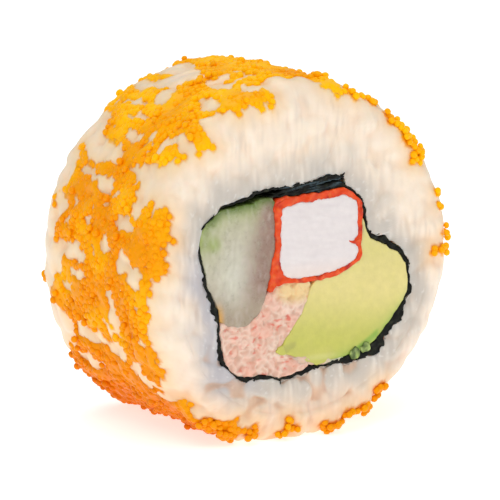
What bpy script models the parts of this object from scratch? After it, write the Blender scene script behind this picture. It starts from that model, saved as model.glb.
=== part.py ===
"""One piece of california roll, lying on its rolled side with its cut faces upright.

A rice ring dusted with fish roe holds a sheet of nori, wound once round the filling with its
ends overlapping at the top: a cucumber stick, a crab stick with its red coat, a slice of
avocado and crab salad. Every layer runs through the piece from one cut face to the other.

Lengths are in millimetres until mesh_object() turns them into metres. A face point (x, z) is
measured from the roll's axis, seen from the front (-Y) with +X to the right. The roll lies
along Y, and z = 0 of the scene is the surface that it rests on.
"""

import math
import random

import bmesh
import bpy
from mathutils import Vector, noise
from mathutils.bvhtree import BVHTree

MM = 0.001

# The roll as a whole
ROLL_RADIUS = 21.2
ROLL_LENGTH = 28.0
AXIS_HEIGHT = 20.3
RIM_ROUNDING = 3.6
TWIST = math.radians(7)
FIT_GAP = 0.28
HALF = ROLL_LENGTH / 2

# Where the back of the roll was pressed in by hand: angle round the roll, spread, depth and first y
PRESS_ANGLE = math.radians(120)
PRESS_SPREAD = math.radians(32)
PRESS_DEPTH = 1.5
PRESS_START = 0.0

# How far each layer stands out of the cut plane, negative where it has sunk in
CUCUMBER_PROUD = -0.25
STICK_PROUD = 0.30
AVOCADO_PROUD = 0.05
SALAD_PROUD = -0.45
NORI_PROUD = 0.10
CUT_EDGE = 0.30
EDGE_EASE = 0.975

# Nori: one sheet, a little more than once round
NORI_THICK = 0.48
NORI_CRINKLE = 0.16
NORI_RAGGED = 0.22
NORI_LAP_CONTROLS = 3.4
NORI_LIFT_CONTROLS = 3.0

# Rice ring
RICE_AROUND = 84
GRAIN_LONG = 6.0
GRAIN_WIDE = 2.9
GRAIN_RELIEF = 0.75
FACE_RELIEF = 0.45
HOLE_CENTRE = (-0.2, -1.6)
FLAT_MARGIN = 0.35

# Fish roe
ROE_DIAMETER = 1.25
ROE_COUNT = 140
ROE_SPACING = 1.65
ROE_SHOWN = 0.12
ROE_LAYER = 0.45
ROE_SEED = 11

# Crab salad crumbs
CRUMB_DIAMETER = 1.5
CRUMBS_PER_FACE = 16
CRUMB_SEED = 5

SAMPLES = 2

# The filling's outline, clockwise from its left end. The nori lies round it.
FILLING_OUTLINE = [
    (-13.7, 4.9), (-11.3, 7.1), (-8.1, 7.6), (-5.1, 8.2), (-3.9, 8.1),
    (-0.7, 8.1), (2.2, 8.3), (5.1, 8.5), (7.0, 7.5), (7.7, 5.8),
    (8.1, 4.2), (8.7, 2.4), (11.1, 1.2), (13.5, -0.9), (13.8, -4.2), (12.4, -6.4),
    (10.6, -8.6), (8.5, -10.3), (5.9, -11.0), (3.0, -11.5), (1.4, -11.7),
    (-0.7, -12.1), (-3.4, -12.6), (-6.0, -12.0), (-7.9, -12.1), (-9.6, -11.2),
    (-10.8, -9.7), (-11.1, -7.5), (-11.7, -5.1), (-12.2, -3.2), (-12.9, -0.7),
    (-13.6, 2.4),
]

# Places in that outline where one filling ends and the next begins
CUCUMBER_STICK = 4
STICK_AVOCADO = 9
AVOCADO_SALAD = 20
SALAD_CUCUMBER = 28

# Borders between the fillings, each from its first meeting point to its last
STICK_TAIL = (-5.2, -3.0)
STICK_FOOT = (0.9, -1.9)
AVOCADO_TIP = (-3.4, -9.5)
CUCUMBER_TO_STICK = [(-4.0, 5.8), (-4.0, 3.0), (-4.4, 0.0), STICK_TAIL]
STICK_TO_SALAD = [STICK_TAIL, (-3.9, -2.0), (-2.1, -1.7), (-0.4, -1.85), STICK_FOOT]
STICK_TO_AVOCADO = [STICK_FOOT, (2.4, -1.7), (4.6, -1.3), (6.5, -0.6), (7.5, 0.7), (7.55, 3.0)]
AVOCADO_TO_TIP = [STICK_FOOT, (0.4, -3.9), (-0.8, -5.8), (-2.1, -7.7), AVOCADO_TIP]
AVOCADO_FROM_TIP = [AVOCADO_TIP, (-1.2, -10.5)]
CUCUMBER_TO_SALAD = [STICK_TAIL, (-6.1, -4.8), (-7.4, -5.9), (-9.2, -6.2), (-10.7, -5.8)]

# The white of the crab stick, clockwise, with the nick that its coat makes at the right
STICK_WHITE = [
    (-3.0, 6.7), (-1.9, 7.0), (0.6, 7.2), (3.6, 7.5), (5.6, 7.6), (6.6, 6.9), (6.9, 5.2),
    (6.9, 3.1), (6.1, 2.3), (6.9, 1.5), (6.7, 0.5), (5.8, -0.3), (3.3, -0.8), (0.9, -1.2),
    (-1.4, -1.2), (-2.8, -0.6), (-3.2, 0.8), (-3.1, 2.7), (-3.1, 4.7),
]

COLOURS = {
    "rice": (0.90, 0.84, 0.74),
    "nori": (0.012, 0.016, 0.010),
    "cucumber": (0.55, 0.62, 0.42),
    "crab_stick": (0.86, 0.83, 0.83),
    "crab_stick_coat": (0.80, 0.10, 0.02),
    "avocado": (0.66, 0.68, 0.18),
    "crab_salad": (0.86, 0.56, 0.46),
}
ROUGHNESS = {
    "rice": 0.45,
    "nori": 0.40,
    "cucumber": 0.25,
    "crab_stick": 0.40,
    "crab_stick_coat": 0.35,
    "avocado": 0.38,
    "crab_salad": 0.50,
}


def curve_point(before, start, end, after, t):
    """A point of a Catmull-Rom curve between start and end."""
    def blend(p0, p1, p2, p3):
        return 0.5 * (
            2 * p1 + (p2 - p0) * t + (2 * p0 - 5 * p1 + 4 * p2 - p3) * t * t
            + (3 * p1 - p0 - 3 * p2 + p3) * t ** 3
        )
    return tuple(blend(*axis) for axis in zip(before, start, end, after))


def closed_curve(points, samples=SAMPLES):
    """A smooth closed curve through the points, starting at the first."""
    count = len(points)
    return [
        curve_point(points[i - 1], points[i], points[(i + 1) % count], points[(i + 2) % count], k / samples)
        for i in range(count)
        for k in range(samples)
    ]


def open_curve(points, samples=SAMPLES):
    """A smooth open curve through the points, both ends included."""
    padded = [points[0]] + list(points) + [points[-1]]
    curve = [
        curve_point(*padded[i:i + 4], k / samples)
        for i in range(len(points) - 1)
        for k in range(samples)
    ]
    return curve + [points[-1]]


def arc(first, last):
    """The stretch of the filling's outline between two of its points, both included."""
    curve = closed_curve(FILLING_OUTLINE)
    steps = ((last - first) % len(FILLING_OUTLINE)) * SAMPLES
    return [curve[(first * SAMPLES + k) % len(curve)] for k in range(steps + 1)]


def joined(*stretches):
    """Stretches laid end to end as one closed outline, each meeting point kept once."""
    outline = []
    for stretch in stretches:
        for point in stretch:
            if not outline or math.dist(point, outline[-1]) > 0.05:
                outline.append(point)
    if math.dist(outline[0], outline[-1]) < 0.05:
        outline.pop()
    return outline


def outward(points, i, closed=True):
    """The outward normal at a point of a clockwise curve."""
    if closed:
        before, after = points[i - 1], points[(i + 1) % len(points)]
    else:
        before, after = points[max(i - 1, 0)], points[min(i + 1, len(points) - 1)]
    dx, dz = after[0] - before[0], after[1] - before[1]
    length = math.hypot(dx, dz) or 1.0
    return -dz / length, dx / length


def distance_to_edge(point, start, end):
    """How far a face point is from a straight edge."""
    px, pz = point[0] - start[0], point[1] - start[1]
    ex, ez = end[0] - start[0], end[1] - start[1]
    share = min(1.0, max(0.0, (px * ex + pz * ez) / (ex * ex + ez * ez)))
    return math.hypot(px - ex * share, pz - ez * share)


def grown(points, distance):
    """A closed clockwise outline moved outwards, or inwards where distance is negative. Where a tip is too
    sharp to move, its points are dropped."""
    edges = list(zip(points, points[1:] + points[:1]))
    moved = []
    for i, (x, z) in enumerate(points):
        nx, nz = outward(points, i)
        point = (x + nx * distance, z + nz * distance)
        if min(distance_to_edge(point, *edge) for edge in edges) > 0.85 * abs(distance):
            moved.append(point)
    return moved


def settled(x, z, y):
    """A face point of the filling at depth y: the roll was wound with a slight twist."""
    turn = TWIST * (y + HALF) / ROLL_LENGTH
    cx, cz = HOLE_CENTRE
    dx, dz = x - cx, z - cz
    return (
        cx + dx * math.cos(turn) - dz * math.sin(turn),
        cz + dx * math.sin(turn) + dz * math.cos(turn),
    )


def mesh_object(name, rings, caps):
    """One object from rings of points (x, y, z), joined in order, with a lid on the first and last ring or
    with the last ring joined back to the first."""
    mesh = bmesh.new()
    loops = [
        [mesh.verts.new((x * MM, y * MM, (z + AXIS_HEIGHT) * MM)) for x, y, z in ring]
        for ring in rings
    ]
    pairs = list(zip(loops, loops[1:]))
    if not caps:
        pairs.append((loops[-1], loops[0]))
    for near, far in pairs:
        for i in range(len(near)):
            j = (i + 1) % len(near)
            mesh.faces.new((near[i], near[j], far[j], far[i]))
    if caps:
        mesh.faces.new(loops[0])
        mesh.faces.new(loops[-1])
    mesh.normal_update()
    bmesh.ops.triangulate(mesh, faces=mesh.faces)
    bmesh.ops.recalc_face_normals(mesh, faces=mesh.faces)
    data = bpy.data.meshes.new(name)
    mesh.to_mesh(data)
    mesh.free()
    obj = bpy.data.objects.new(name, data)
    bpy.context.scene.collection.objects.link(obj)
    return obj


def finish(obj, sharp_degrees=50):
    """The object's material, with round stretches shaded smooth."""
    material = bpy.data.materials.new(obj.name)
    material.use_nodes = True
    shader = material.node_tree.nodes["Principled BSDF"]
    shader.inputs["Base Color"].default_value = (*COLOURS[obj.name], 1)
    shader.inputs["Roughness"].default_value = ROUGHNESS[obj.name]
    shader.inputs["Metallic"].default_value = 0
    material.diffuse_color = (*COLOURS[obj.name], 1)
    obj.data.materials.clear()
    obj.data.materials.append(material)
    obj.data.shade_smooth()
    obj.data.set_sharp_from_angle(angle=math.radians(sharp_degrees))


def section(outline, y):
    """An outline as one ring of the roll at depth y."""
    ring = []
    for x, z in outline:
        sx, sz = settled(x, z, y)
        ring.append((sx, y, sz))
    return ring


def eased_in(points):
    """A closed outline drawn slightly in to its middle."""
    cx = sum(x for x, _ in points) / len(points)
    cz = sum(z for _, z in points) / len(points)
    return [(cx + (x - cx) * EDGE_EASE, cz + (z - cz) * EDGE_EASE) for x, z in points]


def filling(name, outline, proud):
    """A filling that runs through the roll, with its cut edges slightly rounded."""
    end = HALF + proud
    inner = grown(outline, -FIT_GAP / 2)
    eased = eased_in(inner)
    rings = [
        section(eased, -end),
        section(inner, -end + CUT_EDGE),
        section(inner, end - CUT_EDGE),
        section(eased, end),
    ]
    return mesh_object(name, rings, caps=True)


def fuse(obj, pieces):
    """Joins small pieces to the object as one body, then removes them."""
    collection = bpy.data.collections.new(obj.name + "_pieces")
    bpy.context.scene.collection.children.link(collection)
    for piece in pieces:
        collection.objects.link(piece)
    modifier = obj.modifiers.new("fuse", "BOOLEAN")
    modifier.operation = "UNION"
    modifier.solver = "MANIFOLD"
    modifier.operand_type = "COLLECTION"
    modifier.collection = collection
    bpy.context.view_layer.update()
    graph = bpy.context.evaluated_depsgraph_get()
    fused = bpy.data.meshes.new_from_object(obj.evaluated_get(graph))
    obj.modifiers.clear()
    obj.data = fused
    for piece in pieces:
        bpy.data.objects.remove(piece)
    bpy.data.collections.remove(collection)


def ball(centre, diameter, turn, name):
    """A small twenty-sided ball, centred on (x, y, z) in the roll's own frame."""
    mesh = bmesh.new()
    bmesh.ops.create_icosphere(mesh, subdivisions=1, radius=diameter / 2 * MM)
    bmesh.ops.rotate(mesh, verts=mesh.verts, cent=(0, 0, 0), matrix=turn.to_matrix())
    x, y, z = centre
    bmesh.ops.translate(mesh, verts=mesh.verts, vec=(x * MM, y * MM, (z + AXIS_HEIGHT) * MM))
    data = bpy.data.meshes.new(name)
    mesh.to_mesh(data)
    mesh.free()
    return bpy.data.objects.new(name, data)


def random_turn(draw):
    """A random rotation, so that no two balls show the same corner."""
    axis = Vector((draw.gauss(0, 1), draw.gauss(0, 1), draw.gauss(0, 1))).normalized()
    angle = draw.uniform(0, math.pi)
    return axis.to_track_quat("Z", "Y") @ Vector((0, 0, 1)).rotation_difference(
        Vector((math.sin(angle), 0, math.cos(angle)))
    )


def nori_path():
    """The sheet's inner side as one open path: once round the filling from beside the cucumber, then
    lifted over its own start to lap on the outside."""
    count = len(FILLING_OUTLINE)
    start = CUCUMBER_STICK - 0.6
    fine = 2 * SAMPLES
    curve = closed_curve(FILLING_OUTLINE, fine)
    steps = round((count + NORI_LAP_CONTROLS) * fine)
    lift_to = NORI_THICK + FIT_GAP + NORI_CRINKLE
    path = []
    for k in range(0, steps + 1, 2):
        place = start + k / fine
        index = round(place * fine) % len(curve)
        nx, nz = outward(curve, index)
        near_end = (place - start - (count - NORI_LIFT_CONTROLS)) / NORI_LIFT_CONTROLS
        lift = lift_to * min(max(near_end, 0.0), 1.0)
        crinkle = NORI_CRINKLE * noise.noise(Vector((place * 1.3, 3.7, 0)))
        offset = FIT_GAP / 2 + lift + max(crinkle, 0) * (1 if near_end > -1 else 0.6)
        x, z = curve[index]
        path.append((x + nx * offset, z + nz * offset))
    return path


def nori_outline():
    """The sheet's edge-on outline, out along its inner side and back along its outer one."""
    inner = nori_path()
    outer = []
    for i, (x, z) in enumerate(inner):
        nx, nz = outward(inner, i, closed=False)
        thick = NORI_THICK * (1 + 0.25 * noise.noise(Vector((i * 0.7, 0, 9))))
        if i in (0, len(inner) - 1):
            thick *= 0.5
        outer.append((x + nx * thick, z + nz * thick))
    return inner + outer[::-1]


def build_nori():
    outline = nori_outline()
    end = HALF + NORI_PROUD
    rings = []
    for side in (-1, 1):
        rings.append([
            (x, y + side * NORI_RAGGED * noise.noise(Vector((x, z, side * 5)) * 0.9), z)
            for x, y, z in section(outline, side * end)
        ])
    return mesh_object("nori", rings, caps=True)


def hole_radius(directions):
    """How far the hole in the rice reaches from its centre in each direction, just clear of the nori."""
    outline = nori_outline()
    cx, cz = HOLE_CENTRE
    count = len(outline)
    fine = 12
    reach = []
    for i in range(count):
        (x0, z0), (x1, z1) = outline[i], outline[(i + 1) % count]
        for k in range(fine):
            x = x0 + (x1 - x0) * k / fine - cx
            z = z0 + (z1 - z0) * k / fine - cz
            reach.append((math.atan2(z, x), math.hypot(x, z)))
    window = 1.3 * math.pi / directions
    radii = []
    for i in range(directions):
        angle = 2 * math.pi * i / directions
        near = [r for a, r in reach if abs(math.remainder(a - angle, 2 * math.pi)) < window]
        radii.append(max(near) + FIT_GAP)
    return radii


def roll_radius(angle):
    """The rolled outline: nearly round, a little pressed in at places, as hand-rolled rice is."""
    return ROLL_RADIUS + 0.35 * math.cos(2 * angle - 2.4) + 0.25 * math.cos(3 * angle + 0.6)


def roe_cover(angle, y):
    """Above zero where fish roe covers the rice. It lies in streaks round the roll, most on the left."""
    x, z = ROLL_RADIUS * math.cos(angle), ROLL_RADIUS * math.sin(angle)
    streaks = noise.noise(Vector((x / 7.0 + 3, y / 4.2, z / 7.0)))
    specks = noise.noise(Vector((x / 2.6, y / 2.2 + 7, z / 2.6)))
    more_left = 0.22 * math.cos(angle - math.radians(190))
    worn_rim = 0.30 * max(0.0, abs(y) - (HALF - 1.6))
    return streaks + 0.45 * specks + 0.12 + more_left - worn_rim


def grain_relief(x, y, z):
    """From 0 in the creases between rice grains to 1 on their backs."""
    sway = noise.noise(Vector((x, y, z)) / 9.0) * 2.0
    along = Vector((x * math.cos(sway) + y * math.sin(sway), -x * math.sin(sway) + y * math.cos(sway), z))
    scaled = Vector((along.x / GRAIN_LONG, along.y / GRAIN_WIDE, along.z / GRAIN_LONG * 1.4))
    near, second = noise.voronoi(scaled * 1.15)[0][:2]
    return min(1.0, (second - near) * 2.2)


def pressed_in(angle, y):
    """How far the roll is pressed in at an angle and depth, most at the top left of its back."""
    share = min(max((y - PRESS_START) / (HALF - PRESS_START), 0.0), 1.0)
    spread = math.exp(-((angle - PRESS_ANGLE) / PRESS_SPREAD) ** 2)
    return PRESS_DEPTH * spread * share * share * (3 - 2 * share)


def side_radius(angle, y):
    """The roll's outer radius with its grains and its layer of roe."""
    base = roll_radius(angle)
    x, z = base * math.cos(angle), base * math.sin(angle)
    roe = ROE_LAYER * min(1.0, max(0.0, roe_cover(angle, y) * 4))
    return base + GRAIN_RELIEF * (grain_relief(x, y, z) - 0.6) + roe - 0.2 - pressed_in(angle, y)


def rested(x, z):
    """Presses what would reach below the resting surface flat onto it."""
    return x, max(z, -AXIS_HEIGHT)


def rice_side_ring(y, inset):
    """One ring of the rice's outer surface, inset where the rim rounds off."""
    ring = []
    for i in range(RICE_AROUND):
        angle = 2 * math.pi * i / RICE_AROUND
        radius = side_radius(angle, y) - inset
        x, z = rested(radius * math.cos(angle), radius * math.sin(angle))
        ring.append((x, y, z))
    return ring


def rice_hole_ring(y, radii):
    ring = []
    cx, cz = HOLE_CENTRE
    for i, radius in enumerate(radii):
        angle = 2 * math.pi * i / RICE_AROUND
        x, z = settled(cx + radius * math.cos(angle), cz + radius * math.sin(angle), y)
        ring.append((x, y, z))
    return ring


def rice_face_ring(inner, outer, share, side):
    """One ring of a cut face, between the hole's edge and the rim, with the cut grains in relief."""
    ring = []
    for (x0, _, z0), (x1, _, z1) in zip(inner, outer):
        x, z = x0 + (x1 - x0) * share, z0 + (z1 - z0) * share
        relief = FACE_RELIEF * (grain_relief(x, side * 31.0, z) - 0.7)
        ring.append((x, side * (HALF + relief), z))
    return ring


def build_rice():
    """The ring: through the hole, out over the back face, along the side and back over the front face."""
    radii = hole_radius(RICE_AROUND)
    edge = HALF - 0.5
    hole = [rice_hole_ring(y, radii) for y in (-edge, edge)]
    side = []
    straight = HALF - RIM_ROUNDING
    rows = 11
    for k in range(rows + 1):
        side.append(rice_side_ring(-straight + 2 * straight * k / rows, 0))
    rim = {}
    for sign in (-1, 1):
        rim[sign] = []
        for turn in (28, 58, 82):
            a = math.radians(turn)
            y = sign * (straight + RIM_ROUNDING * math.sin(a))
            rim[sign].append(rice_side_ring(y, RIM_ROUNDING * (1 - math.cos(a))))
    shares = (0.12, 0.38, 0.64, 0.9)
    back = [rice_face_ring(hole[-1], rim[1][-1], share, 1) for share in shares]
    front = [rice_face_ring(hole[0], rim[-1][-1], share, -1) for share in reversed(shares)]
    rings = hole + back + rim[1][::-1] + side[::-1] + rim[-1] + front
    return mesh_object("rice", rings, caps=False)


def build_roe(rice):
    """Roe for the rice's side, spread evenly over the patches that it covers, each ball half sunk in."""
    draw = random.Random(ROE_SEED)
    tree = BVHTree.FromObject(rice, bpy.context.evaluated_depsgraph_get())
    placed, balls = [], []
    tries = 0
    while len(balls) < ROE_COUNT and tries < 20000:
        tries += 1
        angle = draw.uniform(0, 2 * math.pi)
        y = draw.uniform(-HALF + 1.2, HALF - 1.2)
        if roe_cover(angle, y) < 0.05:
            continue
        spoke = Vector((math.cos(angle), 0, math.sin(angle)))
        start = (spoke * 2 * ROLL_RADIUS + Vector((0, y, AXIS_HEIGHT))) * MM
        surface = tree.ray_cast(start, -spoke)[0] / MM - Vector((0, 0, AXIS_HEIGHT))
        centre = surface + spoke * ROE_DIAMETER * ROE_SHOWN
        if centre[2] - ROE_DIAMETER / 2 < -AXIS_HEIGHT + FLAT_MARGIN:
            continue
        if any(math.dist(centre, other) < ROE_SPACING for other in placed):
            continue
        placed.append(centre)
        size = ROE_DIAMETER * draw.uniform(0.95, 1.08)
        balls.append(ball(centre, size, random_turn(draw), f"roe_{len(balls)}"))
    return balls


def inside(point, outline):
    """Whether a face point lies within a closed outline."""
    x, z = point
    crossings = 0
    for (x0, z0), (x1, z1) in zip(outline, outline[1:] + outline[:1]):
        if (z0 > z) != (z1 > z) and x < x0 + (z - z0) / (z1 - z0) * (x1 - x0):
            crossings += 1
    return crossings % 2 == 1


def build_crumbs(outline):
    """Crumbs of crab meat that stand out of both cut faces of the salad."""
    draw = random.Random(CRUMB_SEED)
    room = CRUMB_DIAMETER / 2 + FIT_GAP
    crumbs = []
    for side in (-1, 1):
        placed = []
        tries = 0
        while len(placed) < CRUMBS_PER_FACE and tries < 4000:
            tries += 1
            point = (draw.uniform(-12, 3), draw.uniform(-13, -1))
            ring = [(point[0] + room * math.cos(a), point[1] + room * math.sin(a)) for a in range(7)]
            if not all(inside(p, outline) for p in ring):
                continue
            if any(math.dist(point, other) < CRUMB_DIAMETER * 1.04 for other in placed):
                continue
            placed.append(point)
            y = side * (HALF + SALAD_PROUD - CRUMB_DIAMETER * draw.uniform(0.05, 0.25))
            x, z = settled(*point, y)
            crumbs.append(ball((x, y, z), CRUMB_DIAMETER, random_turn(draw), f"crumb_{len(crumbs)}"))
    return crumbs


def build_coat(region):
    """The crab stick's red coat, a sleeve from the stick's outline in to its white."""
    end = HALF + STICK_PROUD - 0.12
    outer = grown(region, -FIT_GAP / 2)
    bore = grown(closed_curve(STICK_WHITE), FIT_GAP * 0.35)
    obj = mesh_object("crab_stick_coat", [section(outer, y) for y in (-end, end)], caps=True)
    cutter = mesh_object("coat_bore", [section(bore, y) for y in (-end - 2, end + 2)], caps=True)
    modifier = obj.modifiers.new("bore", "BOOLEAN")
    modifier.operation = "DIFFERENCE"
    modifier.object = cutter
    cutter.hide_render = True
    cutter.display_type = "WIRE"
    return obj


def main():
    for obj in list(bpy.data.objects):
        bpy.data.objects.remove(obj)

    to_stick = open_curve([FILLING_OUTLINE[CUCUMBER_STICK]] + CUCUMBER_TO_STICK)
    stick_salad = open_curve(STICK_TO_SALAD)
    stick_avocado = open_curve(STICK_TO_AVOCADO + [FILLING_OUTLINE[STICK_AVOCADO]])
    to_tip = open_curve(AVOCADO_TO_TIP)
    from_tip = open_curve(AVOCADO_FROM_TIP + [FILLING_OUTLINE[AVOCADO_SALAD]])
    to_salad = open_curve(CUCUMBER_TO_SALAD + [FILLING_OUTLINE[SALAD_CUCUMBER]])

    cucumber = joined(arc(SALAD_CUCUMBER, CUCUMBER_STICK), to_stick, to_salad)
    stick = joined(arc(CUCUMBER_STICK, STICK_AVOCADO), stick_avocado[::-1], stick_salad[::-1], to_stick[::-1])
    avocado = joined(arc(STICK_AVOCADO, AVOCADO_SALAD), from_tip[::-1], to_tip[::-1], stick_avocado)
    salad = joined(arc(AVOCADO_SALAD, SALAD_CUCUMBER), to_salad[::-1], stick_salad, to_tip, from_tip)

    finish(filling("cucumber", cucumber, CUCUMBER_PROUD))
    finish(filling("avocado", avocado, AVOCADO_PROUD))
    white = grown(closed_curve(STICK_WHITE), FIT_GAP * 0.35 - FIT_GAP / 2)
    finish(filling("crab_stick", white, STICK_PROUD))
    finish(build_coat(stick))
    crab_salad = filling("crab_salad", salad, SALAD_PROUD)
    fuse(crab_salad, build_crumbs(salad))
    finish(crab_salad)
    finish(build_nori(), 60)
    rice = build_rice()
    bpy.context.view_layer.update()
    fuse(rice, build_roe(rice))
    finish(rice, 60)


main()
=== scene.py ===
"""One piece of california roll on a plain pale floor, seen at its front cut face and rolled side.

The layers of the filling are drawn from the frame's own cross-sections, so each fills its place in
the roll. The rice is a ring whose surface is raised by single grains, and the roe lies on it egg by
egg. Lengths are in millimetres and face points (x, z) are measured from the roll's axis; mesh_piece()
turns them into metres above the floor.
"""

import math
import random
from functools import partial
from itertools import product

import bmesh
import bpy
import numpy as np
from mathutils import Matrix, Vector, noise
from mathutils.geometry import delaunay_2d_cdt
from mathutils.kdtree import KDTree


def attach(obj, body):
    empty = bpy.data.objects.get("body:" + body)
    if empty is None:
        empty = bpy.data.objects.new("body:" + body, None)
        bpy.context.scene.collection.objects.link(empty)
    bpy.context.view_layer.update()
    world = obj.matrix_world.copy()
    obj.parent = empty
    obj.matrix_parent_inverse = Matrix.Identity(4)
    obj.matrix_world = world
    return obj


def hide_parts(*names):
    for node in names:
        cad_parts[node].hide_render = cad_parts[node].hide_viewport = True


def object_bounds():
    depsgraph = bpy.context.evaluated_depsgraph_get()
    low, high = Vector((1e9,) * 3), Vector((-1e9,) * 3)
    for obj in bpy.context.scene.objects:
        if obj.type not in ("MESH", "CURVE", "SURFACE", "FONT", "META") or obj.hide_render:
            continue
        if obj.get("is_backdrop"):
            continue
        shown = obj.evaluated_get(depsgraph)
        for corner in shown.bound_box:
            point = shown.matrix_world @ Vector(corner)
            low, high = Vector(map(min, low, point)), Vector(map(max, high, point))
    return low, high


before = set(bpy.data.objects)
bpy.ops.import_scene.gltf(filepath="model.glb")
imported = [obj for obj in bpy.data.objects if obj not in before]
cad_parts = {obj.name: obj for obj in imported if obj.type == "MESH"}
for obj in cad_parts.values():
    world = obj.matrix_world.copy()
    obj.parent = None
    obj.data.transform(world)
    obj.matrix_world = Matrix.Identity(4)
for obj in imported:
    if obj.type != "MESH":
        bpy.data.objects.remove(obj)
cad_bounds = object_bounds()

MM = 0.001

# The roll, as the frame has it
ROLL_RADIUS = 21.2
ROLL_LENGTH = 28.0
HALF = ROLL_LENGTH / 2
AXIS_HEIGHT = 20.3
RIM_ROUNDING = 3.6
TWIST = math.radians(7)
HOLE_CENTRE = np.array((-0.2, -1.6))
SECTION_DEPTH = -HALF + 1.0
RICE_INSET = 0.50

# Where the roll is pressed in towards its back: angle round it in degrees, spread of the press and depth
PRESSES = [(120, 32, 1.3), (182, 20, 0.3)]

# Cut faces of the fillings
POINT_GAP = 0.22
OUTLINE_GAP = 0.2
PATH_STEPS = 8
EDGE_ROUNDING = 0.18
EDGE_STEPS = (0.06, 0.14, 0.25)
FIELD_ROW = 0.866
WALL_ROWS = 5
FILLING_GROWTH = 0.22
STICK_GROWTH = 0.16
BORE_GROWTH = 0.06
CUCUMBER_PROUD = -0.05
STICK_PROUD = 0.12
STICK_BULGE = 0.16
STICK_MIDDLE = (2.0, 3.2)
STICK_HALF = (5.4, 4.6)
COAT_PROUD = 0.20
AVOCADO_PROUD = 0.10
SALAD_PROUD = -0.02
NORI_PROUD = 0.0
RUFFLE = 0.22
JOG_PLACE = (-12.2, -4.0)
JOG_SIZE = 2.4
JOG_DEPTH = 0.6

# Rice
RICE_AROUND = 456
SIDE_ROWS = 72
FACE_ROWS = 26
RIM_ROWS = 14
HOLE_ROWS = 5
GRAIN_SPACING = 2.25
GRAIN_HALF = (2.9, 1.4, 1.2)
GRAIN_DEPTH = (0.75, 1.15)
GRAIN_SIZE = (0.85, 1.1)
FACE_TILT = 0.9
SIDE_TILT = 0.3
CREASE_SIDE = -0.34
CREASE_FACE = -0.34
FACE_FLATNESS = 0.45
COARSE_FACE = 0.80
SIDE_FLATNESS = 0.7
RIM_FLATNESS = 0.45
HOLE_LIP = 0.05
HOLE_SINK = -0.05
HOLE_WINDOW = math.radians(1.6)
HOLE_OVERLAP = 0.24
CUT_LEVEL = 0.10
BLEND = 6.0
RICE_SEED = 4

# Roe
EGG_DIAMETER = (0.76, 0.98)
EGG_SPACING = 0.60
EGG_LIMIT = 2980
EGG_TRIES = 80000
EGG_LIFT = (-0.22, 0.0)
EGG_SMEAR = 0.24
LOOSE_LIFT = (0.2, 0.6)
CLUSTER_LIFT = (0.0, 0.6)
CLUSTER_CLOSENESS = 0.85
LOOSE_EGGS = 0.07
EGG_CLEARANCE = 0.35
NO_COVER = -9.0
EGG_SIDES = 8
EGG_RING_ANGLES = (38, 78, 122)
ROE_FILM = 0.26
FILM_EDGE = -0.06
FILM_TUCK = 0.12
ROE_SEED = 8
BARE_GROWTH = 1.20
FREE_ROE_FRONT = -9.5

# Bare patches of the roe on the shown side: angle round the roll and depth along it, then the half
# sizes of the patch the same way
BARE_PATCHES = [
    (95.5, -12.0, 5, 2.4), (103.5, -10.1, 2.6, 1.3), (96.5, -5.0, 1.8, 2.4), (101, -3.5, 2.5, 1.0),
    (107.3, -5.5, 1.9, 2.6), (117, -8.5, 2.6, 1.8), (122, -12.6, 5, 1.7), (107, 3.2, 7, 2.9),
    (118, 0.6, 3.6, 1.3), (128.5, 1.5, 1.3, 2.6), (134, -11.5, 2.4, 1.0), (140, -13.2, 4, 1.0),
    (133, -9.1, 2.0, 1.2), (137, -7.4, 3.4, 1.1), (141.5, -11.6, 1.6, 1.2), (148.5, -12.2, 6, 2.2),
    (146.3, -8.4, 3.0, 2.8), (152.6, -9.0, 3.6, 1.8), (146, -5.0, 1.4, 1.8), (158.5, -8.4, 4, 1.1),
    (163.7, -6.4, 2.4, 2.2), (172, -2.7, 3, 1.1), (180.5, -10.2, 3, 1.3), (176, -7.8, 3.2, 1.6),
    (135.5, -0.7, 2.2, 1.6), (143, 3.4, 3.8, 3.4), (139, 7.8, 4.6, 1.8), (134.5, 10.2, 6, 1.8),
    (153.5, -0.4, 2.8, 1.7), (152.2, 2.6, 1.5, 1.4), (151, 5.4, 1.4, 2.0), (151.5, 10.4, 7, 1.8),
    (164.5, 8.8, 3.6, 1.5), (168.5, 6.2, 1.9, 0.8), (177.5, 4.2, 3.2, 2.6), (181, 8.0, 5, 1.6),
    (172, 10.6, 7, 1.4), (184.5, 2.2, 1.7, 1.6), (197, -4.7, 5, 1.0), (188, -4.4, 3, 0.8),
    (200.5, -3.0, 3, 0.8), (208, -3.0, 3.4, 1.8), (205.3, 1.5, 2.4, 2.2), (215, -6.6, 5.5, 1.3),
    (219, -12.0, 4, 2.8), (222.5, -8.8, 1.8, 2.2), (203.5, 4.8, 2.8, 1.4), (206, 8.6, 6, 2.0),
    (217.5, 6.0, 2.8, 3.0), (190, 6.3, 1.8, 0.8), (187, 10.6, 5, 1.6), (166.5, 1.7, 1.5, 0.8),
    (205, 12.0, 12, 1.9), (86, -12.0, 4, 2.4), (112, 8.5, 3, 3.2), (122.5, 6.0, 1.3, 3.4),
    (99, 9.0, 6, 3.0), (160, 12.2, 26, 1.8),
]
PATTERNED_ANGLES = (70, 250)

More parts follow.
